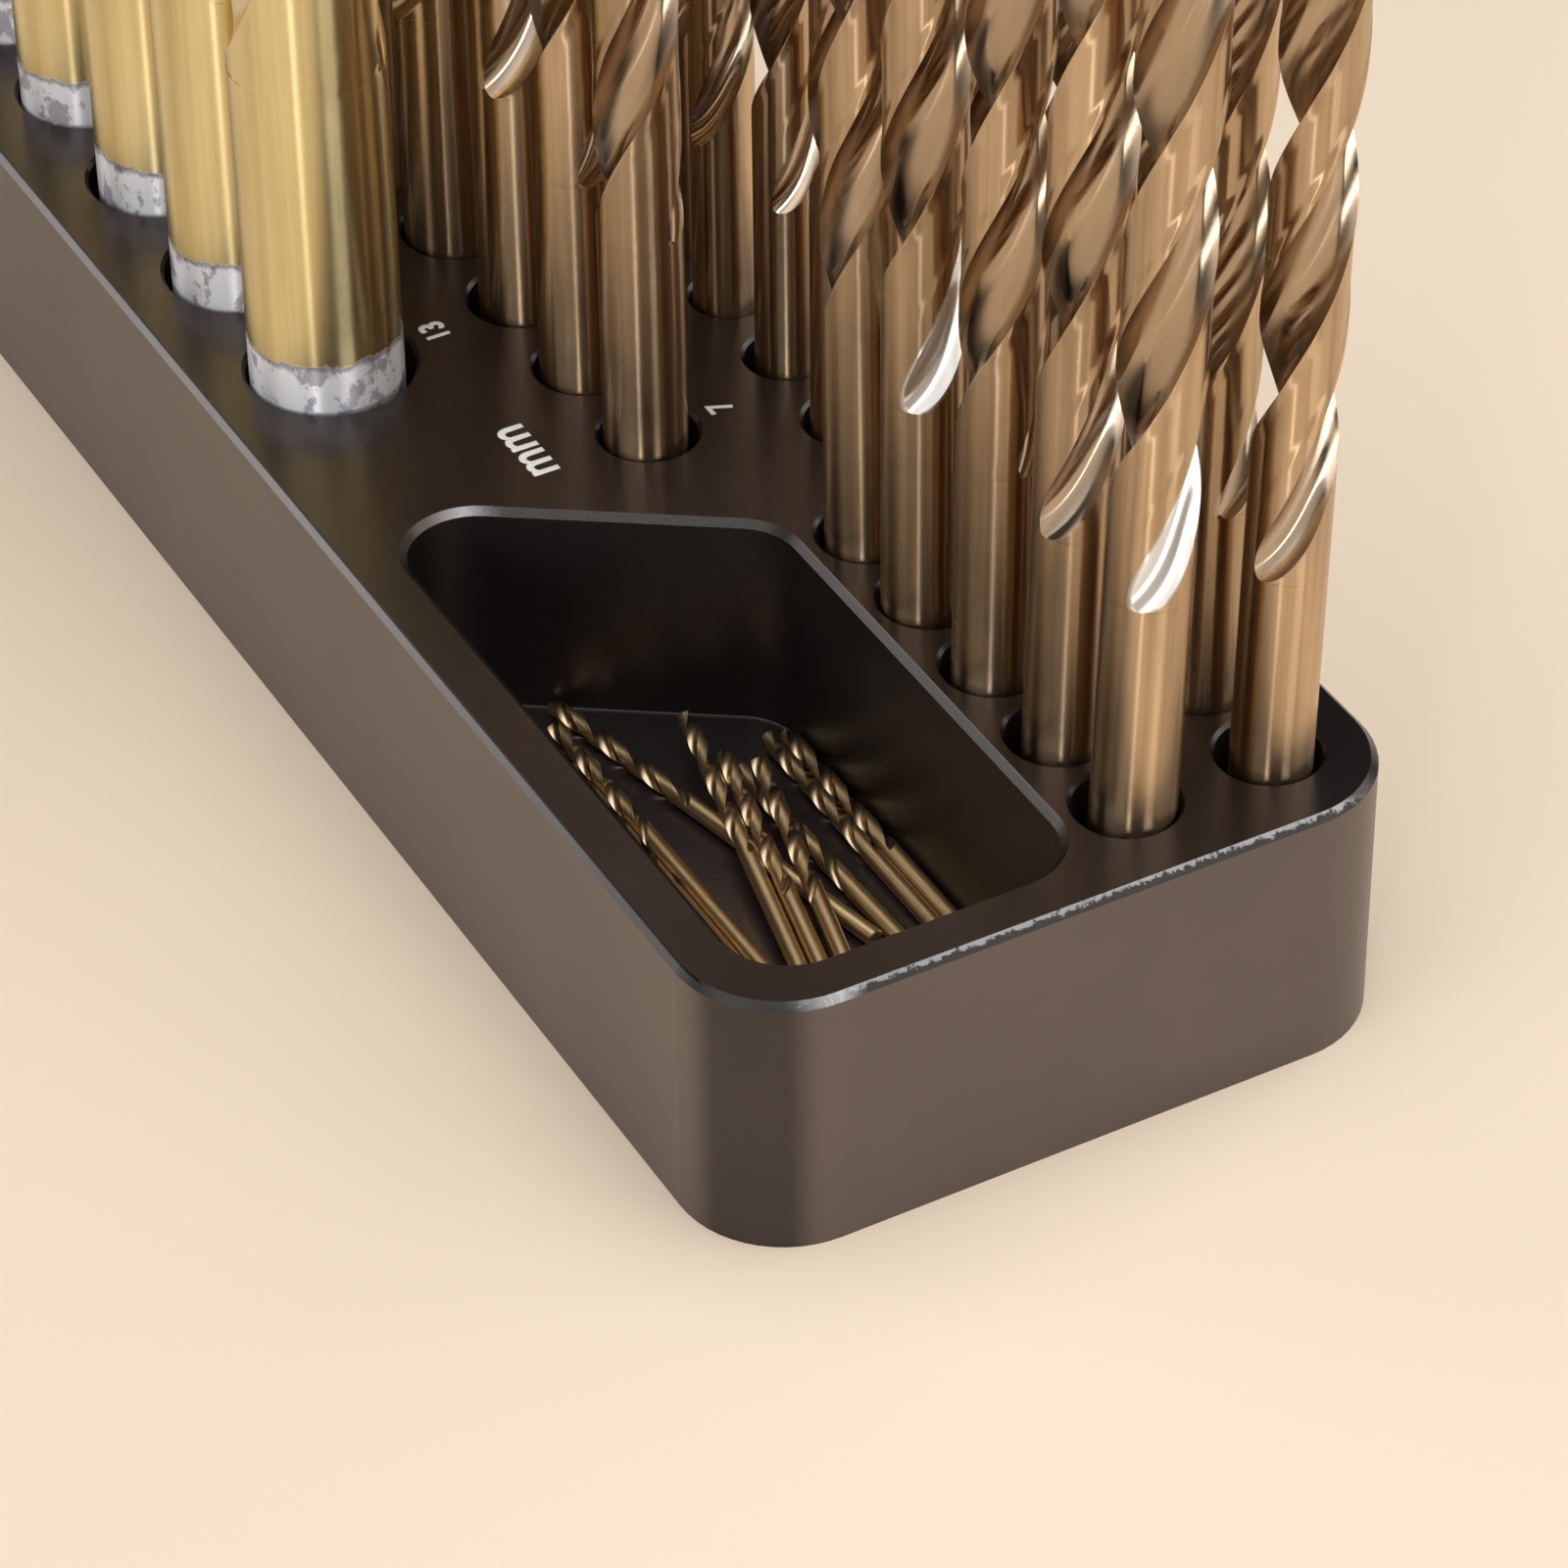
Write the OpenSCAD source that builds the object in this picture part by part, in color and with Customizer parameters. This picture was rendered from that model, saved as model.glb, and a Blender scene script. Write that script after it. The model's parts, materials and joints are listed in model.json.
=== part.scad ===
// Drill bit stand: a machined block with a row of sized holes, a tray for
// loose bits and a grid of extra holes. Every drill bit lifts straight out.
// Millimetres, +Z up, origin at the centre of the underside.
// +X runs along the rows, from the tray to the far end; -Y is the front.

/* [Block] */
// Height of the block
block_height = 24; // [20:0.5:40]
// Radius of the block's upright corners
corner_radius = 9; // [5:0.5:12]
// Chamfer round the top edge and round the tray
edge_chamfer = 0.6; // [0.3:0.1:1.2]
// Margin between the back face and the largest hole
back_margin = 4.35; // [3:0.05:8]
// Margin between the front face and the extra holes
front_margin = 4.15; // [3:0.05:8]
// Margin between the left end and the extra holes
left_margin = 4.8; // [4:0.1:10]
// Margin between the last hole and the right end
right_margin = 6.8; // [4:0.05:15]

/* [Sized holes] */
// Play of a bit in its hole, on the diameter
hole_clearance = 1.3; // [0.8:0.1:2]
// Least play, for the thinnest bits
least_clearance = 0.6; // [0.4:0.1:0.8]
// Metal left under every hole
hole_floor = 4; // [3:0.5:10]
// Chamfer round the mouth of every hole
mouth_chamfer = 0.3; // [0.1:0.05:0.4]
// How far a bit rests to one side of its hole, as a share of its play
rest_share = 0.7; // [0:0.05:0.8]
// Direction in which the bits rest, seen from above, in degrees
rest_heading = 151; // [-180:1:180]
// How far that direction varies from bit to bit, in degrees
rest_spread = 55; // [0:1:90]
// Strip in front of a row, for its size numbers
label_strip = 5.45; // [4:0.05:10]
// Metal between neighbours in the front row
front_web = 3; // [2:0.1:5]
// Metal between neighbours in the middle row
mid_web = 2.5; // [2:0.1:5]
// Metal between neighbours in the back row
back_web = 2.8; // [2:0.1:5]

/* [Extra holes] */
// Diameter of the extra holes
extra_hole = 8.4; // [7.8:0.1:9.5]
// Metal between neighbouring extra holes
extra_web = 1.5; // [1:0.1:4]
// Spacing of the two rows of extra holes
extra_row_pitch = 12.8; // [11:0.1:16]
// Gap between the extra holes and the front row
extra_gap = 6.2; // [3:0.1:12]
// Lean of the first bit beside the tray towards the front, in degrees
tapping_lean = 1.8; // [0:0.1:2]
// Lean of the first bit along the front, in degrees
pilot_lean = 1.3; // [0:0.1:2]
// Change of lean from one extra bit to the next, in degrees
lean_step = 0.6; // [0:0.1:0.8]

/* [Tray] */
// Wall behind the tray and at its left
tray_wall = 4.2; // [3:0.1:8]
// Rim between the tray and the extra holes
tray_rim = 1.1; // [0.8:0.1:4]
// Thickness of the tray's floor
tray_floor = 4; // [2:0.5:8]
// Length of the tray along its front wall
tray_front_length = 49.1; // [48:0.1:60]
// How much longer the tray is along its back wall
tray_slant = 20; // [16:0.5:26]
// Radius of the tray's upright corners, at its rim
tray_corner_radius = 6; // [3:0.5:7]
// Gap between the tray and the first hole of the middle row
mid_gap = 12; // [6:0.5:20]
// Gap between the tray and the first hole of the back row
back_gap = 10.5; // [6:0.5:20]

/* [Bits] */
// Helix angle of the bits' flutes, in degrees
helix_angle = 24; // [20:1:40]
// Angle of the drill points, in degrees
point_angle = 135; // [118:1:140]
// Thickness of a bit's web, as a share of its diameter
web_share = 0.2; // [0.14:0.01:0.35]
// The same for bits under 3 mm, whose webs are thicker
small_web_share = 0.36; // [0.2:0.01:0.45]
// Angle of a bit's round that each flute opens, in degrees
flute_angle = 102; // [90:1:106]
// Turn of each bit's flutes against those of the bit before it, in degrees
flute_step = 137.5; // [0:0.5:180]
// Gap under a bit that stands or lies
seat_gap = 0.1; // [0.05:0.01:0.3]

/* [Hidden] */
$fn = 48;
// How far cuts reach above the block
over = 0.1;

// Sizes of the standing bits, row by row, from left to right
front_sizes = [for (d = [6.5:-0.5:1]) d];
mid_sizes = [for (d = [7:0.5:10.5]) d];
back_sizes = [for (d = [13:-0.5:11]) d];
sizes = concat(front_sizes, mid_sizes, back_sizes);
// Sizes of the bits in the extra holes, behind row first
extra_sizes = [6.8, 6.5];
extra_count = 5;
extra_names = ["tapping_bit_", "pilot_bit_"];
first_leans = [tapping_lean, pilot_lean];
// Turns of the flutes at their lower ends and directions of rest, for the bits in the extra holes at
// the left end, seen from above
extra_turns = [140, 109, 187, 136, 211, 114, 170];
extra_rests = [215, 215, 151, 80];
// Size of the loose bits in the tray
spare_size = 1.5;

// Overall and flute lengths of the standard jobber series, by diameter
jobber = [[1, 34], [1.5, 40], [2, 49], [2.5, 57], [3, 61], [3.5, 70], [4, 75], [4.5, 80], [5, 86],
          [5.5, 93], [6, 93], [6.5, 101], [6.8, 109], [7, 109], [7.5, 109], [8, 117], [8.5, 117], [9, 125],
          [9.5, 125], [10, 133], [10.5, 133], [11, 142], [11.5, 142], [12, 151], [13, 151]];
fluted = [[1, 12], [1.5, 18], [2, 24], [2.5, 30], [3, 33], [3.5, 39], [4, 43], [4.5, 47], [5, 52],
          [5.5, 57], [6, 57], [6.5, 63], [6.8, 69], [7, 69], [7.5, 69], [8, 75], [8.5, 75], [9, 81],
          [9.5, 81], [10, 87], [10.5, 87], [11, 94], [11.5, 94], [12, 101], [13, 101]];

// Loose bits, each with where its tip lies along the tray, how far the tip is from the front wall, the
// heading of its shank seen from above, and the loose bit that it lies across. They lie beside one
// another, so their places follow from their thickness.
spare_names = ["a", "b", "c", "d", "e", "f", "g", "h", "i"];
function spares() =
    let (beside = spare_size + 1.2 * seat_gap,
         slanting_beside = 1.02 * beside,
         a_y = 13.4 + 1.5 * beside,
         a = [far_wall(a_y) - 0.7, a_y, -167.8, undef],
         b_x = far_wall(17) - 3.9,
         b = [b_x, passes(a, b_x) + slanting_beside, -179.8, undef],
         b_end = b_x - spare_length,
         c_x = far_wall(18.5) - 10.7,
         c = [c_x, passes(b, c_x) + beside, -179.8, undef],
         d = through([b_end, passes(b, b_end) - slanting_beside], spare_length + 8.9, 168.4, 0),
         e_x = spare_length + 3.1,
         e = [e_x, passes(d, e_x) - slanting_beside, 168.4, 0],
         e_end = 4,
         f = through([e_end, passes(e, e_end) - slanting_beside], spare_length + 0.9, 167.3, 0),
         a_end = a.x + spare_length * heading(a).x,
         g = through([a_end, passes(a, a_end) - slanting_beside], spare_length + 3.3, -178, undef),
         i_y = spare_size / 2 + 1.5 * seat_gap,
         h_y = i_y + beside)
    [a, b, c, d, e, f, g, [along_lane(h_y), h_y, 180, undef], [along_lane(i_y), i_y, 180, undef]];
// How far a loose bit's line is from the front wall, at a place along the tray
function passes(s, x) = s.y + (x - s.x) * tan(s[2]);
// Loose bit on a line through a point, with its tip at a place along the tray
function through(point, tip_x, turn, under) =
    [tip_x, point.y + (tip_x - point.x) * tan(turn), turn, under];

function clearance(d) = min(hole_clearance, least_clearance + (d - 1) * 0.2);
function hole(d) = d + clearance(d);
function rest(play, heading) = rest_share * max(0, play) / 2 * [cos(heading), sin(heading)];
function row_offset(row, i, web) =
    i == 0 ? 0 : row_offset(row, i - 1, web) + (hole(row[i - 1]) + hole(row[i])) / 2 + web;
function last(list) = list[len(list) - 1];

hole_depth = block_height - hole_floor;
tray_depth = block_height - tray_floor;

// Places are measured from the left end and, downwards, from the back face
back_row_y = -(back_margin + hole(back_sizes[0]) / 2);
mid_row_y = back_row_y - hole(back_sizes[0]) / 2 - label_strip - hole(last(mid_sizes)) / 2;
front_row_y = mid_row_y - hole(last(mid_sizes)) / 2 - label_strip - hole(front_sizes[0]) / 2;
extra_y = [front_row_y + extra_row_pitch / 2, front_row_y - extra_row_pitch / 2];
block_depth = extra_hole / 2 + front_margin - extra_y[1];

function extra_x(i) = left_margin + extra_hole / 2 + i * (extra_hole + extra_web);
tray_front_y = extra_y[0] + extra_hole / 2 + tray_rim;
tray_front_end = tray_wall + tray_front_length;
tray_back_end = tray_front_end + tray_slant;
front_start = extra_x(extra_count - 1) + (extra_hole + hole(front_sizes[0])) / 2 + extra_gap;
mid_start = tray_front_end + mid_gap + hole(mid_sizes[0]) / 2;
back_start = tray_back_end + back_gap + hole(back_sizes[0]) / 2;

function row_end(row, start, web) = start + row_offset(row, len(row) - 1, web) + hole(last(row)) / 2;
block_length = right_margin + max(row_end(front_sizes, front_start, front_web),
                                  row_end(mid_sizes, mid_start, mid_web),
                                  row_end(back_sizes, back_start, back_web));

// Where each sized hole is, in the order of sizes
function row_places(row, start, y, web) =
    [for (i = [0:len(row) - 1]) [start + row_offset(row, i, web), y]];
places = concat(row_places(front_sizes, front_start, front_row_y, front_web),
                row_places(mid_sizes, mid_start, mid_row_y, mid_web),
                row_places(back_sizes, back_start, back_row_y, back_web));
extra_places = [for (row = [0:1], i = [0:extra_count - 1]) [extra_x(i), extra_y[row]]];

// Names of the nodes
function size_name(d) = str("bit_", floor(d), "_", round((d - floor(d)) * 10), "mm");
bit_names = [for (d = sizes) size_name(d)];
extra_bit_names = [for (row = [0:1], i = [0:extra_count - 1]) str(extra_names[row], i + 1)];
spare_bit_names = [for (s = spare_names) str("spare_bit_", s)];

// Moves a shape from the block's left rear corner to the part's own frame
module in_frame() {
    translate([-block_length / 2, block_depth / 2, 0]) children();
}

// Direction of the side from corner a to corner b, and its outward normal; corners go clockwise
// seen from above
function side_turn(a, b) = atan2(b.y - a.y, b.x - a.x);
function side_normal(a, b) = [a.y - b.y, b.x - a.x] / norm(b - a);
function next(list, i) = list[(i + 1) % len(list)];

// Flat outline with arcs of one radius round its corner centres
module rounded_outline(centres, radius) {
    polygon([for (i = [0:len(centres) - 1])
        let (a = centres[i], b = next(centres, i), out = radius * side_normal(a, b))
        each [a + out, b + out]]);
    for (centre = centres) translate(centre) circle(radius);
}

// Chamfered band on such an outline, from one radius at the bottom to another at the top
module rounded_band(centres, bottom_radius, top_radius, height) {
    inside = -min(bottom_radius, top_radius) / 2;
    for (i = [0:len(centres) - 1]) {
        a = centres[i];
        b = next(centres, i);
        translate(a) cylinder(r1 = bottom_radius, r2 = top_radius, h = height);
        translate(a) rotate([90, 0, side_turn(a, b) + 90]) linear_extrude(norm(b - a))
            polygon([[inside, 0], [bottom_radius, 0], [top_radius, height], [inside, height]]);
    }
}

// Centres of the block's corner arcs
block_centres = [[corner_radius, -corner_radius],
                 [block_length - corner_radius, -corner_radius],
                 [block_length - corner_radius, corner_radius - block_depth],
                 [corner_radius, corner_radius - block_depth]];

// Centres of the tray's corner arcs, set in from the two slanting corners of its rim
tray_heading = atan2(tray_front_y + tray_wall, -tray_slant);
tray_rear_set_in = tray_corner_radius / tan((180 + tray_heading) / 2);
tray_front_set_in = tray_corner_radius * tan((180 + tray_heading) / 2);
tray_centres = [[tray_wall + tray_corner_radius, -tray_wall - tray_corner_radius],
                [tray_back_end - tray_rear_set_in, -tray_wall - tray_corner_radius],
                [tray_front_end - tray_front_set_in, tray_front_y + tray_corner_radius],
                [tray_wall + tray_corner_radius, tray_front_y + tray_corner_radius]];
tray_wall_radius = tray_corner_radius - edge_chamfer;

// Blind hole from the top, with its mouth chamfer carried on above the block
module blind_hole(diameter) {
    translate([0, 0, hole_floor]) cylinder(d = diameter, h = hole_depth + over);
    translate([0, 0, block_height - mouth_chamfer])
        cylinder(d1 = diameter, d2 = diameter + 2 * (mouth_chamfer + over), h = mouth_chamfer + over);
}

// Tray from the top, with its chamfer carried on above the block
module tray_cut() {
    translate([0, 0, tray_floor])
        linear_extrude(tray_depth + over) rounded_outline(tray_centres, tray_wall_radius);
    translate([0, 0, block_height - edge_chamfer])
        rounded_band(tray_centres, tray_wall_radius, tray_corner_radius + over, edge_chamfer + over);
}

module stand_block() {
    color("#26262a") in_frame() difference() {
        union() {
            linear_extrude(block_height) rounded_outline(block_centres, corner_radius - 2 * edge_chamfer);
            linear_extrude(block_height - edge_chamfer) rounded_outline(block_centres, corner_radius);
            translate([0, 0, block_height - edge_chamfer])
                rounded_band(block_centres, corner_radius, corner_radius - edge_chamfer, edge_chamfer);
        }
        tray_cut();
        for (i = [0:len(sizes) - 1])
            translate(places[i]) blind_hole(hole(sizes[i]));
        for (place = extra_places)
            translate(place) blind_hole(extra_hole);
    }
}

// A flute is ground by a wheel with a round nose. Towards the shank the wheel lifts, so the flute
// narrows to the nose and then runs out. Heights above the shank are in diameters of the bit, and
// the section's sizes are shares of its radius.
nose_share = 0.5;
runout_share = 1.5;
narrow_from = 0.9;
narrow_to = 2.8;
// Half of the flute's opening where it begins
least_half = 20;
// The fluted length is this little thinner than the shank
land_share = 0.99;
large_from = 7;
small_below = 3;
rings_per_turn_large = 12;
rings_per_turn = 10;
rings_per_turn_small = 8;

function between(value) = max(0, min(1, value));
function nose_depth(z) = nose_share * (1 - pow(1 - between(z / runout_share), 2));
function opening(z) = let (s = between((z - narrow_from) / (narrow_to - narrow_from))) s * s * (3 - 2 * s);
function web(d) = d < small_below ? small_web_share : web_share;
function flute_depth(z, d) = nose_depth(z) + (1 - web(d) - nose_share) * opening(z);
function flute_half(z) = let (h = nose_depth(z), nose = asin(sqrt(2 * nose_share * h - h * h)))
    max(least_half, nose + (flute_angle / 2 - asin(nose_share)) * opening(z));

// Point of a flute's section, from one edge at t = -1 over the bottom to the other edge at t = 1
function flute_point(half, depth, t) =
    let (bottom = 1 - depth, room = cos(half) - bottom)
    room <= 0 ? [cos(half * t), sin(half * t)] :
    let (centre = (1 - bottom * bottom) / (2 * room),
         wheel = centre - bottom,
         turn = t * atan2(sin(half), centre - cos(half)))
    [centre - wheel * cos(turn), wheel * sin(turn)];

// Section of two flutes and two lands, at a height above the shank
function section(z, d) =
    let (half = flute_half(z),
         depth = flute_depth(z, d),
         step = d < small_below ? 1 : 0.5,
         lands = d < small_below ? 1 : 2,
         flute = [for (t = [-1:step:1]) flute_point(half, depth, t)],
         land = [for (k = [1:lands]) let (angle = half + (180 - 2 * half) * k / (lands + 1))
                     [cos(angle), sin(angle)]],
         side = concat(flute, land))
    concat(side, [for (p = side) -p]);

function turned(p, angle) = [p.x * cos(angle) - p.y * sin(angle), p.x * sin(angle) + p.y * cos(angle)];

// Fluted length with its point, from the shank's end at z = 0
module flutes(d, length) {
    per_turn = d < small_below ? rings_per_turn_small
             : d < large_from ? rings_per_turn : rings_per_turn_large;
    lead = PI * d / tan(helix_angle);
    point = d / 2 / tan(point_angle / 2);
    body = length - point;
    rings = ceil(body / lead * per_turn);
    sunk = d / 4;
    // Each ring is its height and its scale
    stack = concat([[-sunk, 1], [0, 1], [d / 4, 1]],
                   [for (k = [1:rings]) [body * k / rings, 1]],
                   [[length, 0.12]]);
    points = [for (ring = stack)
        let (turn = 360 * ring[0] / lead,
             reach = d / 2 * land_share * ring[1])
        for (p = section(ring[0] / d, d))
        let (spot = reach * turned(p, turn))
        [spot.x, spot.y, ring[0]]];
    count = len(section(0, d));
    last_ring = len(stack) - 1;
    sides = [for (s = [0:last_ring - 1], k = [0:count - 1])
        let (a = s * count + k, b = s * count + (k + 1) % count)
        each [[a, a + count, b], [b, a + count, b + count]]];
    bottom = [for (k = [0:count - 1]) k];
    top = [for (k = [count - 1:-1:0]) last_ring * count + k];
    polyhedron(points, concat(sides, [bottom, top]));
}

// Drill bit standing on its shank's end at the origin, with its flutes turned about its axis
module drill(d, turn) {
    length = lookup(d, jobber);
    shank = length - lookup(d, fluted);
    rim = d * 0.05;
    rotate_extrude()
        polygon([[0, 0], [d / 2 - rim, 0], [d / 2, rim], [d / 2, shank], [0, shank]]);
    translate([0, 0, shank]) rotate([0, 0, turn]) flutes(d, length - shank);
}

// Bit of the sized rows, upright at one side of its hole
module standing_bit(i) {
    place = places[i] + rest(clearance(sizes[i]), rest_heading + rest_spread * sin(flute_step * i));
    in_frame() translate([place.x, place.y, hole_floor + seat_gap]) drill(sizes[i], flute_step * i);
}

// Bit of the extra holes, leaning in its loose hole and resting to one side of it
module extra_bit(i) {
    row = floor(i / extra_count);
    d = extra_sizes[row];
    lean = first_leans[row] - lean_step * (i % extra_count);
    sink = hole_depth / 2 - seat_gap - d / 2 * sin(abs(lean));
    heading = i < len(extra_rests) ? extra_rests[i] : rest_heading;
    turn = i < len(extra_turns) ? extra_turns[i] : flute_step * (len(sizes) + i);
    place = extra_places[i] + rest(extra_hole - d - hole_depth * sin(abs(lean)), heading);
    in_frame() translate([place.x, place.y, hole_floor + hole_depth / 2])
        rotate([lean, 0, 0]) translate([0, 0, -sink]) drill(d, turn);
}

// Distance along the tray from its left wall to its slanted wall, at a distance from its front wall
function far_wall(y) = tray_front_length - edge_chamfer
    + (y + edge_chamfer) * tray_slant / (-tray_wall - tray_front_y)
    - edge_chamfer / -sin(tray_heading);
// Tip of a loose bit that lies along the front wall, part way along its free play
lane_share = 0.3;
function along_lane(y) = let (play = far_wall(y) - spare_length - 0.75 * tray_wall_radius)
    far_wall(y) - (1 - lane_share) * play;

// Loose bits: directions, crossings and tilts
function heading(s) = [cos(s[2]), sin(s[2])];
function cross2(a, b) = a.x * b.y - a.y * b.x;
// Distance from the tip of s to where the loose bit t passes under it
function crossing(s, t) =
    cross2([t[0] - s[0], t[1] - s[1]], heading(t)) / cross2(heading(s), heading(t));
spare_length = lookup(spare_size, jobber);
// Height by which a crossing bit lies over the one below
spare_rise = spare_size + seat_gap;
function spare_tilt(s) =
    s[3] == undef ? 0 : atan(spare_rise / (spare_length - crossing(s, spares()[s[3]])));

// Loose bit in the tray: its shank's end rests on the floor, or it lies across another bit
module spare_bit(i) {
    s = spares()[i];
    tilt = spare_tilt(s);
    reach = spare_length * cos(tilt);
    in_frame() translate([tray_wall + edge_chamfer + s[0] + reach * heading(s).x,
                          tray_front_y + edge_chamfer + s[1] + reach * heading(s).y,
                          tray_floor + seat_gap + spare_size / 2])
        rotate([0, 0, s[2] + 180]) rotate([0, 90 - tilt, 0])
        drill(spare_size, flute_step * (len(sizes) + len(extra_places) + i));
}

// What is drawn
stand_block();
for (i = [0:len(bit_names) - 1])
    color(sizes[i] >= back_sizes[len(back_sizes) - 1] ? "#c9a44c" : "#8a6f45") standing_bit(i);
for (i = [0:len(extra_bit_names) - 1])
    color("#8a6f45") extra_bit(i);
for (i = [0:len(spare_bit_names) - 1])
    color("#a98a52") spare_bit(i);
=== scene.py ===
"""Looks of the drill bit stand: an anodised block, ground twist drills and printed size numbers."""

import json
import math

import bmesh
import bpy
import numpy as np
from mathutils import Matrix, Vector


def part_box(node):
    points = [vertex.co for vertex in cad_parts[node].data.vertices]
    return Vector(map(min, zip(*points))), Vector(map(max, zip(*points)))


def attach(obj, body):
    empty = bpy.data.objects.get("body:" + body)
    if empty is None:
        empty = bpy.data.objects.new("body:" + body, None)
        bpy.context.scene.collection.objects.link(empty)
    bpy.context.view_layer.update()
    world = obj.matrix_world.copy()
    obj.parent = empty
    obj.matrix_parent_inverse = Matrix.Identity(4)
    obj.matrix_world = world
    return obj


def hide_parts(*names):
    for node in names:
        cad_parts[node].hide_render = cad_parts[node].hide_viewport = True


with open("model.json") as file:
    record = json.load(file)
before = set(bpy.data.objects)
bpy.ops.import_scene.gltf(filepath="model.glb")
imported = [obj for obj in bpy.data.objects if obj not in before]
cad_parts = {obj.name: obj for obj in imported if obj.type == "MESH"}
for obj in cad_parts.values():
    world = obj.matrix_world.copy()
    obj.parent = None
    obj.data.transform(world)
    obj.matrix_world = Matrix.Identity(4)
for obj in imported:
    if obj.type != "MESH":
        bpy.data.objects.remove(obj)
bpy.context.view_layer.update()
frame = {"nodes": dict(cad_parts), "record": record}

MM = 0.001
TAU = 2 * math.pi

# Camera, as in the photograph, in metres
CAMERA_PLACE = Vector((-0.38545, 0.18900, 0.32212))
CAMERA_TARGET = Vector((-0.06133, 0.01266, 0.02400))
CAMERA_ROLL = math.radians(-0.68)
CAMERA_LENS = 142.98
CAMERA_SENSOR = 36.0

# Names of the pieces, from the record's own lists
BLOCK = "stand_block"
SLOTS = {part["node"]: part["material_slot"] for part in frame["record"]["subparts"]}
BITS = [name for name in SLOTS if name != BLOCK]


# Node trees written as expressions


class Wire:
    """An output socket. Arithmetic on it adds Math nodes to its own tree."""

    def __init__(self, graph, socket):
        self.graph = graph
        self.socket = socket

    def math(self, operation, *values):
        return self.graph.node("ShaderNodeMath", {"operation": operation}, dict(enumerate(values)))

    def __add__(self, other):
        return self.math("ADD", self, other)

    def __radd__(self, other):
        return self.math("ADD", other, self)

    def __sub__(self, other):
        return self.math("SUBTRACT", self, other)

    def __rsub__(self, other):
        return self.math("SUBTRACT", other, self)

    def __mul__(self, other):
        return self.math("MULTIPLY", self, other)

    def __rmul__(self, other):
        return self.math("MULTIPLY", other, self)

    def __truediv__(self, other):
        return self.math("DIVIDE", self, other)

    def __neg__(self):
        return self.math("MULTIPLY", self, -1)

    def clamped(self):
        """This value kept between 0 and 1."""
        return self.math("MINIMUM", self.math("MAXIMUM", self, 0), 1)

    def smooth(self, low, high):
        """0 below low, 1 above high and a smooth step between."""
        return self.graph.node("ShaderNodeMapRange", {"interpolation_type": "SMOOTHSTEP"},
                               {"Value": self, "From Min": low, "From Max": high})

    def part(self, name):
        """Another output of the node that this wire comes from."""
        return Wire(self.graph, self.socket.node.outputs[name])


class Graph:
    """A node tree that is filled by calls to node."""

    def __init__(self, tree):
        self.tree = tree

    def node(self, kind, settings=None, sockets=None, output=0):
        """Adds a node: its settings first, then the values or wires of its sockets."""
        made = self.tree.nodes.new(kind)
        for name, value in (settings or {}).items():
            setattr(made, name, value)
        for key, value in (sockets or {}).items():
            if isinstance(value, Wire):
                self.tree.links.new(value.socket, made.inputs[key])
            else:
                made.inputs[key].default_value = value
        return Wire(self, made.outputs[output]) if len(made.outputs) else made

    def mix(self, factor, low, high):
        """A colour between two colours."""
        return self.node("ShaderNodeMix", {"data_type": "RGBA", "clamp_factor": True},
                         {0: factor, 6: low, 7: high}, output=2)

    def vector(self, x=0.0, y=0.0, z=0.0):
        return self.node("ShaderNodeCombineXYZ", None, {"X": x, "Y": y, "Z": z})

    def noise(self, place, scale, detail=3.0, rough=0.5, stretch=(1, 1, 1)):
        """Noise from 0 to 1 at a place, with its cells stretched along the axes."""
        place = self.node("ShaderNodeMapping", None, {"Vector": place, "Scale": stretch})
        return self.node("ShaderNodeTexNoise", None,
                         {"Vector": place, "Scale": scale, "Detail": detail, "Roughness": rough})

    def bump(self, height, strength, distance):
        return self.node("ShaderNodeBump", None,
                         {"Height": height, "Strength": strength, "Distance": distance})


def new_material(name):
    """A material with a Principled shader, its graph and that shader's node."""
    material = bpy.data.materials.new(name)
    material.use_nodes = True
    tree = material.node_tree
    shader = next(n for n in tree.nodes if n.type == "BSDF_PRINCIPLED")
    return material, Graph(tree), shader


def feed(graph, shader, **sockets):
    """Links wires or sets values on the shader's sockets, named with underscores for spaces."""
    for key, value in sockets.items():
        socket = shader.inputs[key.replace("_", " ")]
        if isinstance(value, Wire):
            graph.tree.links.new(value.socket, socket)
        else:
            socket.default_value = value


# Materials

BLACK_OXIDE = (0.142, 0.120, 0.117, 1)
BROWN_OXIDE = (0.168, 0.142, 0.134, 1)
EDGE_GREY = (0.085, 0.077, 0.073, 1)
# Painted highlight colour of the long edge at its far end
FAR_EDGE_HIGHLIGHT = (0.21, 0.19, 0.182, 1)
END_GREY = (0.042, 0.037, 0.034, 1)
RUBBED_END = (0.27, 0.265, 0.265, 1)
# Colour of painted highlight spots on the edges
SPOT_HIGHLIGHT = (0.46, 0.45, 0.45, 1)
# Colour of a painted highlight line along the foot of the tray's walls
FLOOR_GLINT_COLOUR = (0.34, 0.32, 0.31, 1)
# Black for painted shade
SHADE_BLACK = (0, 0, 0, 1)
# Spots on the edges painted bright as highlights, with the spots' radii
HIGHLIGHT_SPOTS = (((-0.0176, 0.0190, 0.0237), 0.0045), ((-0.0845, 0.0219, 0.0237), 0.0035))
BLOCK_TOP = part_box(BLOCK)[1][2]
EDGE_CHAMFER = 0.0006
TRAY_FLOOR = 0.004
# The tray's slanted end: where it crosses the block's middle line, and its run for each step aside
TRAY_END = -0.0297
TRAY_SLANT = 0.697
# Width of the painted highlight line above the tray's floor
FLOOR_GLINT_WIDTH = 0.0002
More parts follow.
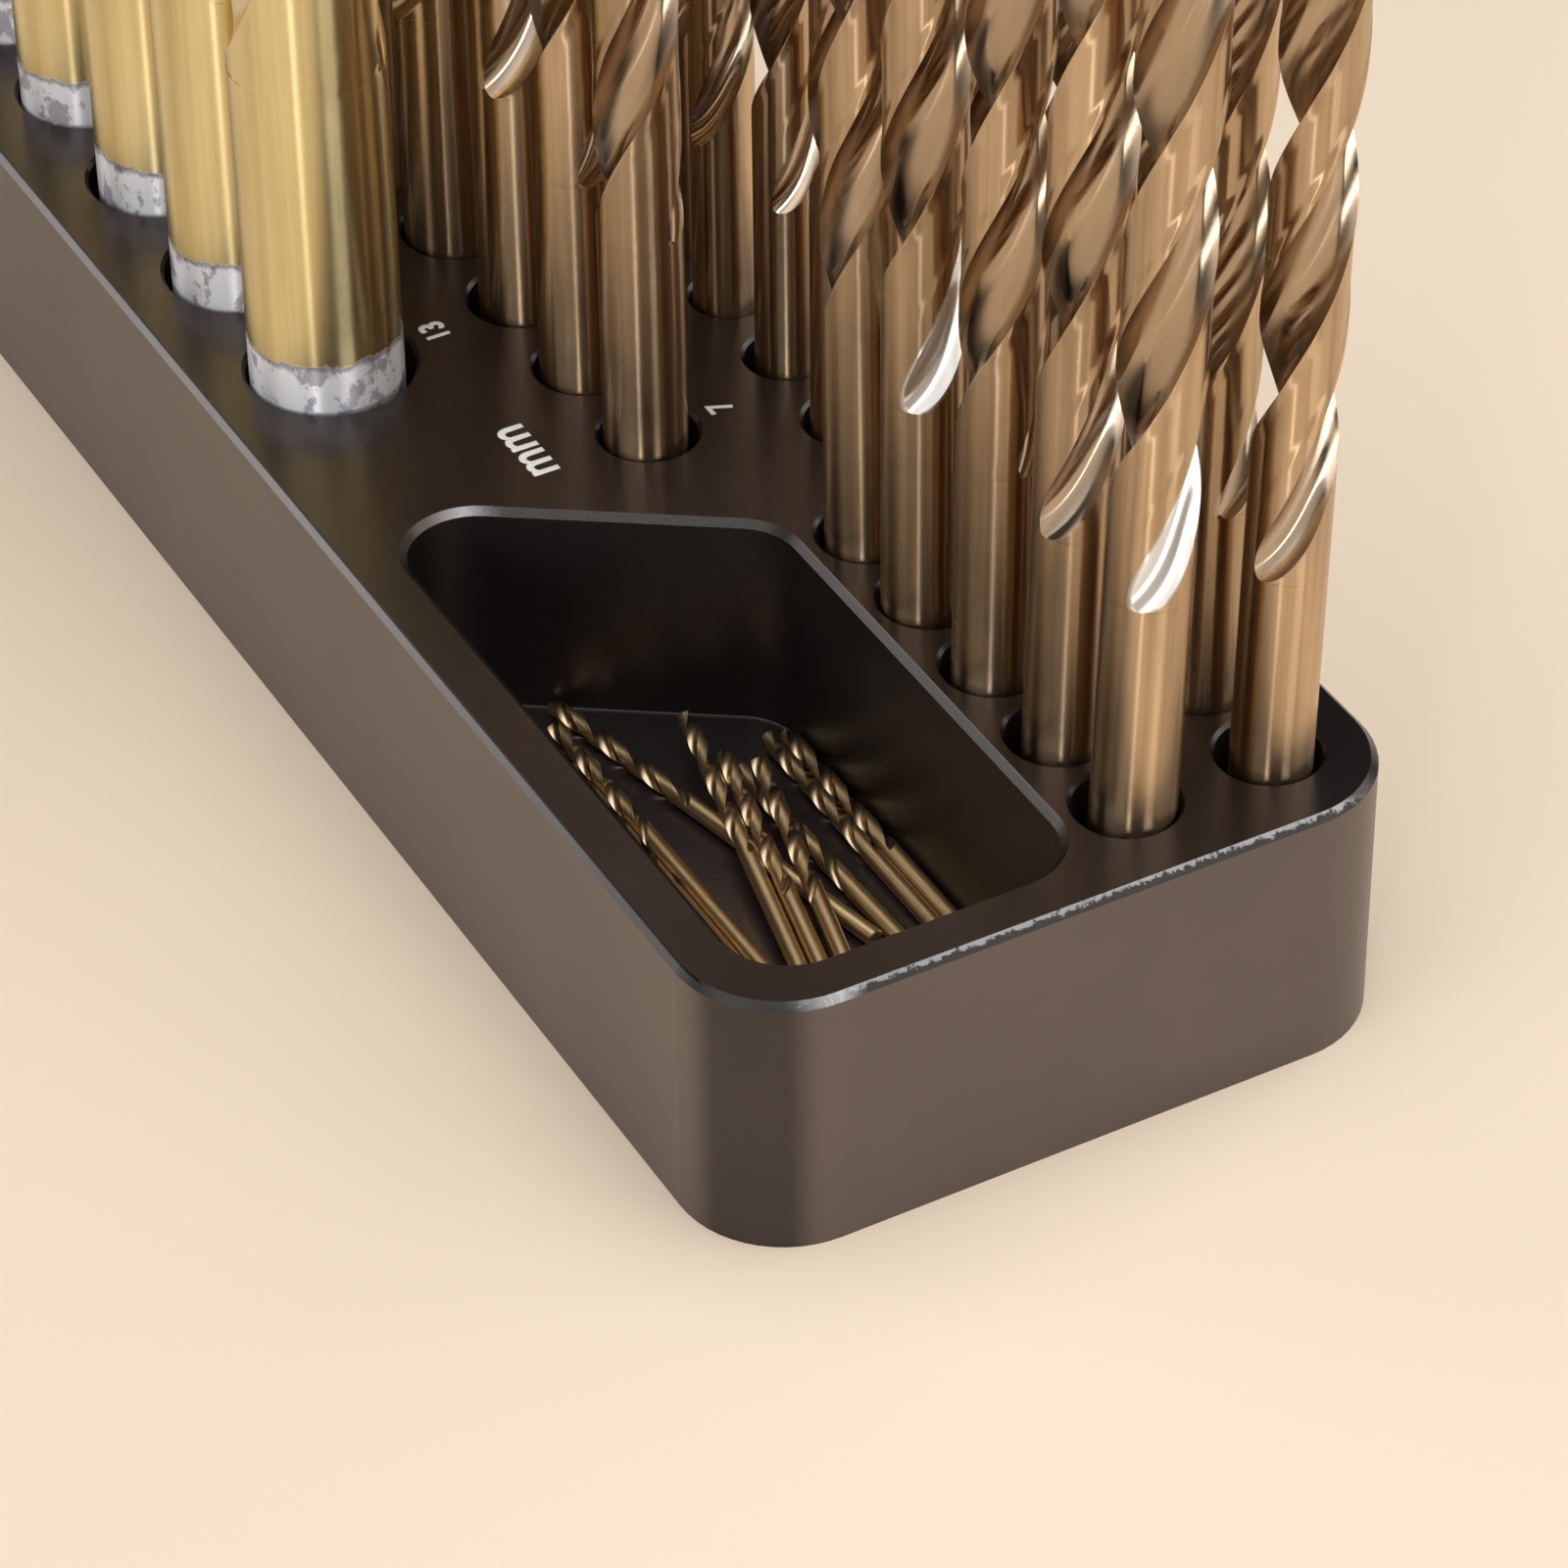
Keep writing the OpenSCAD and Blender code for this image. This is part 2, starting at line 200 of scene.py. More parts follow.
# Where each zone of the block begins and is full, in metres from its middle
RIM_END = (TRAY_END + 0.0008, TRAY_END + 0.0011)
RIM_FRONT = (-0.0036, -0.0034)
TRAY_NEAR_WALL = (-0.0815, -0.0808)
NEAR_END = (0.0838, 0.0842)
LONG_EDGE = (0.0290, 0.0292)
PALER_ALONG = (-0.085, 0.0)
# The same on both sides of the middle, as squares of the distance
TRAY_WALLS = (0.00066, 0.00069)
BOTH_SIDES = (0.00083, 0.00085)
BOTH_ENDS = (0.00700, 0.00706)


def anodised_black():
    """Satin black anodising: fine blasted grain, faint brown patches, edges of their own colour rubbed
    bright at the near end, painted highlights on the far long edge, two edge spots and round the tray's
    floor, and painted shade on the top, tray walls, round corners and hole mouths."""
    material, graph, shader = new_material("anodised_black")
    place = graph.node("ShaderNodeTexCoord", None, None, output="Object")
    normal = place.part("Normal")
    up = graph.node("ShaderNodeSeparateXYZ", None, {0: normal}, output="Z")
    height = graph.node("ShaderNodeSeparateXYZ", None, {0: place}, output="Z")
    # Chamfers are the faces that look up at about 45 degrees
    chamfer = up.smooth(0.45, 0.6) * (1 - up.smooth(0.82, 0.95))
    outward = (-up.part("X")).smooth(0.45, 0.62)
    end_edge = chamfer * outward * (-height.part("X")).smooth(*NEAR_END)
    patches = graph.noise(place, 38, detail=4, rough=0.55)
    grain = graph.noise(place, 4300, detail=2)
    # The end's edge is rubbed most where it meets the top
    upper = height.smooth(BLOCK_TOP - EDGE_CHAMFER, BLOCK_TOP)
    nicks = graph.noise(place, 1500, detail=4, rough=0.75) + 0.30 * upper
    rubbed = nicks.smooth(0.66, 0.76) * end_edge
    upright = 1 - up.smooth(0.3, 0.4)
    # Painted highlight: a thin bright line along the foot of the tray's walls, as if a small fillet
    # caught the light
    line = upright * (1 - height.smooth(TRAY_FLOOR + FLOOR_GLINT_WIDTH * 0.8, TRAY_FLOOR + FLOOR_GLINT_WIDTH))
    line = line * height.smooth(TRAY_FLOOR - 0.0002, TRAY_FLOOR - 0.0001)
    side = height.part("Y")
    # The tray and its rim lie before the slanted end, and inside the tray is within the walls
    past_slant = height.part("X") - TRAY_SLANT * side
    rim = (1 - past_slant.smooth(*RIM_END)) * side.smooth(*RIM_FRONT)
    inside = rim * height.part("X").smooth(*TRAY_NEAR_WALL) * (1 - (side * side).smooth(*TRAY_WALLS))
    line = line * inside
    skin = graph.mix(patches.smooth(0.35, 0.75), BLACK_OXIDE, BROWN_OXIDE)
    # Only the outer edges and the tray's rim are paler, not the mouths of the holes
    ends = height.part("X") * height.part("X")
    outer = (side * side).smooth(*BOTH_SIDES) + ends.smooth(*BOTH_ENDS)
    pale = (outer + rim).clamped()
    mouth = chamfer * (1 - pale)
    chamfer = chamfer * pale
    # Painted shade: the top, the tray's walls, the round corners of the long face and the mouths of the
    # holes are darkened
    turned = up.part("X") * up.part("Y")
    shaded_corner = upright * (turned * turned).smooth(0.01, 0.17) * side.smooth(0.0, 0.01) * (1 - inside)
    deep = inside * (1 - height.smooth(BLOCK_TOP - 0.0004, BLOCK_TOP - 0.0002))
    flat_top = up.smooth(0.93, 0.97) * (1 - deep)
    painted_shade = 0.55 * shaded_corner + 0.4 * deep * upright + 0.33 * flat_top + 0.6 * mouth
    skin = graph.mix(painted_shade.clamped(), skin, SHADE_BLACK)
    # Painted highlight: the long edge gets paler towards the far end; painted shade: a dark line where
    # it meets the top
    long_edge = graph.mix(height.part("X").smooth(*PALER_ALONG), EDGE_GREY, FAR_EDGE_HIGHLIGHT)
    dark_line = height.smooth(BLOCK_TOP - 0.0002, BLOCK_TOP - 0.0001) * side.smooth(*LONG_EDGE)
    long_edge = graph.mix(0.85 * dark_line, long_edge, SHADE_BLACK)
    edge = graph.mix(side.smooth(*LONG_EDGE), EDGE_GREY, long_edge)
    edge = graph.mix(rubbed, graph.mix(end_edge, edge, END_GREY), RUBBED_END)
    # Painted highlights: two bright spots on the edges
    for spot, reach in HIGHLIGHT_SPOTS:
        away = graph.node("ShaderNodeVectorMath", {"operation": "DISTANCE"}, {0: place, 1: spot},
                          output="Value")
        edge = graph.mix(1 - away.smooth(0.0, reach), edge, SPOT_HIGHLIGHT)
    colour = graph.mix(line, graph.mix(chamfer, skin, edge), FLOOR_GLINT_COLOUR)
    rough = 0.21 + 0.04 * patches + 0.04 * grain + 0.08 * chamfer + 0.11 * upright
    feed(graph, shader, Base_Color=colour, Roughness=rough, Metallic=0.92 - 0.7 * line,
         Normal=graph.bump(grain, 0.3, 0.00005))
    feed(graph, shader, IOR=1.6)
    return material


SPECK_GREY = (0.75, 0.72, 0.68, 1)
WORN_STEEL = (0.86, 0.86, 0.90, 1)
SMEAR_GREY = (0.30, 0.27, 0.31, 1)
WORN_RIM = (0.12, 0.10, 0.13, 1)
# Height of the worn band on a bit, from its shank end
WORN_BAND = 0.0242
FINISHES = {
    "bronze_steel": {"shank_dark": (0.38, 0.265, 0.162, 1), "shank_light": (0.64, 0.452, 0.275, 1),
                     "flute_tint": (0.42, 0.315, 0.215, 1), "runout_tint": (0.90, 0.88, 0.85, 1)},
    "gold_steel": {"shank_dark": (0.68, 0.545, 0.265, 1), "shank_light": (0.84, 0.705, 0.385, 1),
                   "flute_tint": (0.70, 0.58, 0.36, 1), "runout_tint": (0.74, 0.67, 0.55, 1),
                   "worn_to": WORN_BAND},
    # The spares' flute tint is darker than their shanks as painted shade in the grooves
    "straw_steel": {"shank_dark": (0.64, 0.46, 0.235, 1), "shank_light": (0.92, 0.71, 0.42, 1),
                    "flute_tint": (0.52, 0.39, 0.25, 1), "runout_tint": (0.84, 0.68, 0.45, 1),
                    "spread": 0.0},
}


def ground_steel(name, shank_dark, shank_light, flute_tint, runout_tint, worn_to=0.0, spread=1.0):
    """Oxide-coloured twist drill: a shank with grinding rings and long fine streaks, greyer flutes
    and, up to a height worn_to along the bit, a ragged band rubbed down to bare steel. The grinding
    spreads reflections along an upright bit."""
    material, graph, shader = new_material(name)
    place = graph.node("ShaderNodeAttribute", {"attribute_name": "bit_place"}, None, output="Vector")
    flute = graph.node("ShaderNodeAttribute", {"attribute_name": "flute"}, None, output="Fac")
    runout = graph.node("ShaderNodeAttribute", {"attribute_name": "runout"}, None, output="Fac")
    along = graph.node("ShaderNodeSeparateXYZ", None, {0: place}, output="Z")
    streaks = graph.noise(place, 1500, detail=4, rough=0.6, stretch=(1, 1, 0.02))
    bands = graph.noise(place, 330, detail=2, stretch=(1, 1, 0.06))
    rings = graph.noise(place, 700, detail=2, stretch=(0.04, 0.04, 4))
    patina = graph.noise(place, 130, detail=5, rough=0.6, stretch=(1, 1, 0.45))
    specks = graph.noise(place, 2600, detail=2).smooth(0.72, 0.78)
    tone = (0.45 * streaks + 0.45 * bands + 0.3 * patina).smooth(0.42, 0.78)
    colour = graph.mix(tone, shank_dark, shank_light)
    colour = graph.mix(flute * (0.7 + 0.3 * patina), colour, flute_tint)
    colour = graph.mix(runout, colour, runout_tint)
    colour = graph.mix(specks * 0.3, colour, SPECK_GREY)
    rough = 0.13 + 0.07 * patina + (0.07 + 0.04 * rings) * (1 - flute) + 0.2 * runout
    rough = rough + 0.12 * (1 - spread)
    height = (0.35 * rings + 0.65 * streaks) * (1 - flute)
    if worn_to:
        ragged = graph.noise(place, 330, detail=6, rough=0.7, stretch=(1, 1, 0.6))
        edge = along + (ragged - 0.5) * 0.0028
        worn = 1 - edge.smooth(worn_to - 0.0001, worn_to + 0.0002)
        rim = worn * edge.smooth(worn_to - 0.0007, worn_to - 0.0001)
        smear = graph.noise(place, 480, detail=5, rough=0.65, stretch=(1, 1, 0.7)).smooth(0.51, 0.58)
        steel = graph.mix(smear * 0.75, WORN_STEEL, SMEAR_GREY)
        steel = graph.mix(rim * 0.7, steel, WORN_RIM)
        colour = graph.mix(worn, colour, steel)
        rough = rough + 0.2 * worn
        feed(graph, shader, Metallic=1 - 0.6 * worn)
    else:
        feed(graph, shader, Metallic=1.0)
    feed(graph, shader, Base_Color=colour, Roughness=rough, Normal=graph.bump(height, 0.16, 0.00003))
    feed(graph, shader, Anisotropic=spread, Anisotropic_Rotation=0.25)
    return material


FULL_INK = (0.97, 0.97, 0.96, 1)
THIN_INK = (0.90, 0.90, 0.90, 1)


def white_print():
    """Pad-printed white ink, a little thin in places."""
    material, graph, shader = new_material("white_print")
    place = graph.node("ShaderNodeTexCoord", None, None, output="Object")
    thin = graph.noise(place, 2400, detail=3)
    colour = graph.mix(thin.smooth(0.3, 0.75), FULL_INK, THIN_INK)
    feed(graph, shader, Base_Color=colour, Roughness=0.45 + 0.2 * thin,
         Normal=graph.bump(thin, 0.1, 0.00001))
    return material


FLOOR_DARK = (0.89, 0.735, 0.57, 1)
FLOOR_LIGHT = (0.92, 0.765, 0.60, 1)


def pale_table():
    """Plain pale floor."""
    material, graph, shader = new_material("pale_table")
    place = graph.node("ShaderNodeTexCoord", None, None, output="Object")
    soft = graph.noise(place, 3, detail=2)
    feed(graph, shader, Base_Color=graph.mix(soft, FLOOR_DARK, FLOOR_LIGHT),
         Roughness=0.55 + 0.05 * soft)
    feed(graph, shader, Specular_IOR_Level=0.1)
    return material


# Twist drills

HELIX_ANGLE = math.radians(24)
POINT_ANGLE = math.radians(135)
# The flute is ground by a wheel with a round nose: half its opening, then in shares of the bit's
# radius its bottom and the nose, then in diameters where the nose runs out and the flute narrows
FLUTE_HALF = math.radians(51)
EDGE_BREAK = math.radians(1.2)
WEB = 0.2
SMALL_WEB = 0.36
SMALL_BELOW = 0.0029
NOSE = 0.56
RUNOUT = 1.2
NARROW_FROM = 0.9
NARROW_TO = 2.8
MARGIN = math.radians(12)
BODY_CLEARANCE = 0.03
ROW_EASE = 1.35
# Shares of the diameter: the chamfer at the shank's end and how deep the flutes start in the shank
SHANK_CHAMFER = 0.05
FLUTE_SINK = 0.1
# The fluted part is thinner than the shank by this share, and its sunk lowest row narrower still
BACK_TAPER = 0.002
SUNK_SHARE = 0.02
LEAST_NOSE = 0.0001
# Where a ground flute's bright lower end fades, in diameters above the shank
BRIGHT_FADE = (1.2, 2.2)
JOIN_DISTANCE = 0.0000005
CREASE_ANGLE = math.radians(32)
# Columns of half a turn: edge, flute, edge, land, margin
EDGE_COLUMNS = 4
FLUTE_COLUMNS = 22
LAND_COLUMNS = 9
MARGIN_COLUMNS = 3
HALF_COLUMNS = 2 * EDGE_COLUMNS + FLUTE_COLUMNS + LAND_COLUMNS + MARGIN_COLUMNS
POINT_ROWS = 5
SHANK_COLUMNS = 72
SHANK_ROWS = 4


def tree_inputs(tree, names):
    """Adds float inputs to a geometry tree and returns their wires by name."""
    for name in names:
        tree.interface.new_socket(name=name, in_out="INPUT", socket_type="NodeSocketFloat")
    tree.interface.new_socket(name="Geometry", in_out="OUTPUT", socket_type="NodeSocketGeometry")
    source = tree.nodes.new("NodeGroupInput")
    graph = Graph(tree)
    return graph, {name: Wire(graph, source.outputs[name]) for name in names}


def grid_fields(graph, columns, rows):
    """A grid with its column and row numbers as fields."""
    mesh = graph.node("GeometryNodeMeshGrid", None,
                      {"Size X": 1.0, "Size Y": 1.0, "Vertices X": columns + 1, "Vertices Y": rows + 1})
    place = graph.node("GeometryNodeInputPosition")
    x = graph.node("ShaderNodeSeparateXYZ", None, {0: place}, output="X")
    return mesh, (x + 0.5) * columns, (x.part("Y") + 0.5) * rows


def keep(graph, mesh, name, value, kind="FLOAT"):
    """Stores a field on the mesh's points under a name."""
    return graph.node("GeometryNodeStoreNamedAttribute", {"data_type": kind, "domain": "POINT"},
                      {"Geometry": mesh, "Name": name, "Value": value})


def put(graph, mesh, radius, angle, height):
    """Moves a mesh's points to cylinder coordinates."""
    spot = graph.vector(radius * angle.math("COSINE", angle), radius * angle.math("SINE", angle), height)
    return graph.node("GeometryNodeSetPosition", None, {"Geometry": mesh, "Position": spot})


def shank_of(graph, size):
    """Plain shank with a small chamfer at its end."""
    radius = size["Diameter"] / 2
    rim = size["Diameter"] * SHANK_CHAMFER
    mesh, column, row = grid_fields(graph, SHANK_COLUMNS, SHANK_ROWS)
    first = row.clamped()
    second = (row - 1).clamped()
    third = (row - 2).clamped()
    reach = radius * (first - (row - 3).clamped()) - rim * (first - second)
    mesh = keep(graph, mesh, "flute", 0.0)
    mesh = keep(graph, mesh, "runout", 0.0)
    return put(graph, mesh, reach, column * (TAU / SHANK_COLUMNS),
               rim * second + (size["Shank"] - rim) * third)


def flutes_of(graph, size, rows):
    """Two helical flutes that run out at the shank, and a drill point."""
    radius = size["Diameter"] / 2
    sink = size["Diameter"] * FLUTE_SINK
    lead = size["Diameter"] * (math.pi / math.tan(HELIX_ANGLE))
    mesh, column, row = grid_fields(graph, 2 * HALF_COLUMNS, rows + 2 + POINT_ROWS)
    halves = column / HALF_COLUMNS
    half = halves.math("FLOOR", halves)
    place = (halves - half) * HALF_COLUMNS

    def through(start, count):
        return ((place - start) / count).clamped()

    heel = EDGE_COLUMNS + FLUTE_COLUMNS
    land = heel + EDGE_COLUMNS
    margin = land + LAND_COLUMNS
    body = ((row - 2) / rows).clamped()
    body = body.math("POWER", body, ROW_EASE)
    # Towards the shank the wheel lifts: the flute narrows to the wheel's nose, which runs out
    level = (size["Length"] - size["Shank"]) * body / size["Diameter"]
    left = 1 - (level / RUNOUT).clamped()
    nose = NOSE * (1 - left * left)
    nose = nose.math("MAXIMUM", nose, LEAST_NOSE)
    nose_sine = nose.math("SQRT", 2 * NOSE * nose - nose * nose)
    wide = level.smooth(NARROW_FROM, NARROW_TO)
    bottom = 1 - nose - (1 - size["Web"] - NOSE) * wide
    open_half = nose_sine.math("ARCSINE", nose_sine) + (FLUTE_HALF - math.asin(NOSE)) * wide
    open_sine = open_half.math("SINE", open_half)
    open_cosine = open_half.math("COSINE", open_half)
    centre = (1 - bottom * bottom) / (2 * (open_cosine - bottom))
    wheel_radius = centre - bottom
    wheel_half = open_sine.math("ARCTAN2", open_sine, centre - open_cosine)
    wheel = wheel_half * (2 * through(EDGE_COLUMNS, FLUTE_COLUMNS) - 1)
    x = centre - wheel_radius * wheel.math("COSINE", wheel)
    y = wheel_radius * wheel.math("SINE", wheel)
    # Edges, land and margin take up the rest of the round
    spare = FLUTE_HALF + EDGE_BREAK - open_half
    land_turn = math.pi - 2 * (FLUTE_HALF + EDGE_BREAK) - MARGIN
    around = (y.math("ARCTAN2", y, x) + (through(0, EDGE_COLUMNS) - 1) * spare
              + through(heel, EDGE_COLUMNS) * spare + through(land, LAND_COLUMNS) * land_turn
              + through(margin, MARGIN_COLUMNS) * MARGIN)
    relief = through(land, 1) * (1 - through(margin, 1)) * BODY_CLEARANCE
    share = x.math("SQRT", x * x + y * y) - relief * wide
    # The point: rows run up to a cone and then in to the axis
    slope = 1 / math.tan(POINT_ANGLE / 2)
    cap = ((row - (rows + 2)) / POINT_ROWS).clamped()
    reach = radius * (1 - BACK_TAPER * wide) * share
    top = size["Length"] - reach * (1 - cap) * slope
    height = size["Shank"] - sink * (1 - (row - 1).clamped()) + (top - size["Shank"]) * body
    turn = around + half * math.pi + (height - size["Shank"]) * TAU / lead + size["Turn"]
    inside = through(EDGE_COLUMNS - 0.5, 0.5) * (1 - through(heel, 0.5))
    mesh = keep(graph, mesh, "flute", inside * level.smooth(0.0, 0.02))
    mesh = keep(graph, mesh, "runout", inside * (1 - level.smooth(*BRIGHT_FADE)) * size["Fresh"])
    # The lowest row is sunk in the shank
    sunk = 1 - SUNK_SHARE * (1 - (row - 1).clamped())
    return put(graph, mesh, reach * sunk * row.clamped() * (1 - cap), turn, height)


def closed(graph, mesh):
    """Joins a rolled-up grid to itself where its sides meet."""
    return graph.node("GeometryNodeMergeByDistance", None, {"Geometry": mesh, "Distance": JOIN_DISTANCE})


def drill_tree(name, rows, material):
    """Geometry nodes for one finish and one fineness of drill."""
    tree = bpy.data.node_groups.new(name, "GeometryNodeTree")
    graph, size = tree_inputs(tree, ("Diameter", "Length", "Shank", "Web", "Turn", "Fresh", "Seed"))
    parts = [closed(graph, shank_of(graph, size)), closed(graph, flutes_of(graph, size, rows))]
    joined = tree.nodes.new("GeometryNodeJoinGeometry")
    for part in parts:
        tree.links.new(part.socket, joined.inputs[0])
    mesh = Wire(graph, joined.outputs[0])
    place = graph.node("GeometryNodeInputPosition")
    shifted = graph.node("ShaderNodeVectorMath", {"operation": "ADD"},
                         {0: place, 1: graph.vector(size["Seed"], size["Seed"], 0.0)})
    mesh = keep(graph, mesh, "bit_place", shifted, "FLOAT_VECTOR")
    mesh = graph.node("GeometryNodeSetShadeSmooth", {"domain": "FACE"},
                      {"Geometry": mesh, "Shade Smooth": True})
    angle = graph.node("GeometryNodeInputMeshEdgeAngle")
    crease = angle.math("GREATER_THAN", angle, CREASE_ANGLE)
    mesh = graph.node("GeometryNodeSetShadeSmooth", {"domain": "EDGE"},
                      {"Geometry": mesh, "Selection": crease, "Shade Smooth": False})
    mesh = graph.node("GeometryNodeRealizeInstances", None, {"Geometry": mesh})
    mesh = graph.node("GeometryNodeSetMaterial", None, {"Geometry": mesh, "Material": material})
    graph.node("NodeGroupOutput", None, {"Geometry": mesh})
    return tree


def mesh_from_tree(name, tree, values):
    """Runs a geometry tree with its inputs set by identifier and returns the finished mesh."""
    holder = bpy.data.objects.new(name, bpy.data.meshes.new(name))
    bpy.context.scene.collection.objects.link(holder)
    modifier = holder.modifiers.new(name, "NODES")
    modifier.node_group = tree
    for item in tree.interface.items_tree:
        if item.in_out == "INPUT" and item.name in values:
            modifier[item.identifier] = values[item.name]
    graph = bpy.context.evaluated_depsgraph_get()
    mesh = bpy.data.meshes.new_from_object(holder.evaluated_get(graph))
    mesh.name = name
    holder.modifiers.clear()
    bpy.data.objects.remove(holder)
    return mesh


# Shares of a bit's radius: the stretch taken as its end, and how near the outside its shank is
END_STRETCH = 0.02
SHANK_NEARNESS = 0.995
# A bit whose direction rises at least this much stands
STANDING = 0.7


def bit_axis(node):
    """Where a bit stands in the frame: shank end, direction, length, diameter and shank length."""
    mesh = frame["nodes"][node].data
    points = np.empty(3 * len(mesh.vertices))
    mesh.vertices.foreach_get("co", points)
    points = np.unique(points.reshape(-1, 3).round(7), axis=0)
    middle = points.mean(axis=0)
    direction = np.linalg.svd(points - middle)[2][0]
    along = (points - middle) @ direction
    away = np.linalg.norm(points - middle - np.outer(along, direction), axis=1)
    radius = away.max()
    tip_reach = away[along > along.max() - radius * END_STRETCH].max()
    end_reach = away[along < along.min() + radius * END_STRETCH].max()
    if tip_reach > end_reach:
        direction = -direction
        along = -along
    foot = middle + direction * along.min()
    shank = along[away > radius * SHANK_NEARNESS].max() - along.min()
    return Vector(foot), Vector(direction), float(np.ptp(along)), float(2 * radius), float(shank)


def bit_place(foot, direction):
    """Takes a drill from its own upright frame to its place. A lying one is tipped, then turned."""
    if direction.z > STANDING:
        turn = Vector((0, 0, 1)).rotation_difference(direction).to_matrix().to_4x4()
    else:
        turn = (Matrix.Rotation(math.atan2(direction.y, direction.x), 4, "Z")
                @ Matrix.Rotation(math.acos(direction.z), 4, "Y"))
    return Matrix.Translation(foot) @ turn


# Turns of the flutes at their lower ends, in degrees: some bits' own, and a step from bit to bit
SEEN_TURNS = {"tapping_bit_1": 140, "tapping_bit_2": 109, "tapping_bit_3": 187, "tapping_bit_4": 136,
              "tapping_bit_5": 211, "pilot_bit_1": 114, "pilot_bit_2": 170}
FLUTE_STEP = 137.5
# How bright the flutes' lower ends are ground: two bits show bare steel there
FRESH_ENDS = {"tapping_bit_1": 0.95, "tapping_bit_4": 0.95}
USUAL_END = 0.12
ROWS_PER_TURN = 72
# Shift of the finish from bit to bit, so that no two look alike
SEED_STEP = 0.01


def make_bits(finishes):
    """One detailed drill for every bit of the frame, in the bit's own place."""
    trees = {}
    for index, node in enumerate(BITS):
        foot, direction, length, diameter, shank = bit_axis(node)
        lead = diameter * math.pi / math.tan(HELIX_ANGLE)
        rows = round((length - shank) / lead * ROWS_PER_TURN)
        material = finishes[SLOTS[node]]
        key = (rows, material.name)
        if key not in trees:
            trees[key] = drill_tree(f"drill_{material.name}_{rows}", rows, material)
        mesh = mesh_from_tree(f"{node}_detail", trees[key],
                              {"Diameter": diameter, "Length": length, "Shank": shank,
                               "Web": SMALL_WEB if diameter < SMALL_BELOW else WEB,
                               "Turn": math.radians(SEEN_TURNS.get(node, FLUTE_STEP * index)),
                               "Fresh": FRESH_ENDS.get(node, USUAL_END), "Seed": SEED_STEP * index})
        mesh.transform(bit_place(foot, direction))
        piece = bpy.data.objects.new(f"{node}_detail", mesh)
        bpy.context.scene.collection.objects.link(piece)
        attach(piece, node)
        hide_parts(node)


# Printed size numbers

NUMBER_HEIGHT = 0.0021
NUMBER_GAP = 0.0026
UNIT_HEIGHT = 0.0036
UNIT_PLACE = (-0.0130, 0.0102)
INK = 0.00002
# The ink spreads this far over the outline of the figures
SPREAD = 0.00012
CAP_SHARE = 0.729
LETTER_STEPS = 4
NIB_SIDES = 6
# The spread ink stands this much higher than the rest
SPREAD_RISE = 1.1
# Play of a bit in its hole by its size, and how far and where the bit rests to one side
LEAST_PLAY = 0.0006
MOST_PLAY = 0.0013
PLAY_STEP = 0.2
REST_SHARE = 0.7
REST_HEADING = math.radians(151)
REST_SPREAD = math.radians(55)


def number_tree(material):
    """Geometry nodes that set one text in raised ink, centred on the origin."""
    tree = bpy.data.node_groups.new("printed_number", "GeometryNodeTree")
    tree.interface.new_socket(name="Text", in_out="INPUT", socket_type="NodeSocketString")
    graph, size = tree_inputs(tree, ("Height", "Ink", "Spread"))
    text = Wire(graph, size["Height"].socket.node.outputs["Text"])
    curves = graph.node("GeometryNodeStringToCurves", {"align_x": "CENTER", "align_y": "MIDDLE"},
                        {"String": text, "Size": size["Height"] / CAP_SHARE})
    curves = graph.node("GeometryNodeRealizeInstances", None, {"Geometry": curves})
    curves = graph.node("GeometryNodeSetSplineResolution", None,
                        {"Geometry": curves, "Resolution": LETTER_STEPS})
    flat = graph.node("GeometryNodeFillCurve", None, {0: curves})
    inside = graph.node("GeometryNodeExtrudeMesh", None,
                        {"Mesh": flat, "Offset Scale": size["Ink"], "Individual": False})
    nib = graph.node("GeometryNodeCurvePrimitiveCircle", None,
                     {"Resolution": NIB_SIDES, "Radius": size["Spread"]})
    outline = graph.node("GeometryNodeCurveToMesh", None, {"Curve": curves, "Profile Curve": nib})
    place = graph.node("GeometryNodeInputPosition")
    x = graph.node("ShaderNodeSeparateXYZ", None, {0: place}, output="X")
    level = x.part("Z")
    level = level.math("MINIMUM", level.math("MAXIMUM", level, 0), size["Ink"] * SPREAD_RISE)
    outline = graph.node("GeometryNodeSetPosition", None,
                         {"Geometry": outline, "Position": graph.vector(x, x.part("Y"), level)})
    joined = tree.nodes.new("GeometryNodeJoinGeometry")
    for part in (inside, outline):
        tree.links.new(part.socket, joined.inputs[0])
    solid = graph.node("GeometryNodeSetMaterial", None,
                       {"Geometry": Wire(graph, joined.outputs[0]), "Material": material})
    graph.node("NodeGroupOutput", None, {"Geometry": solid})
    return tree


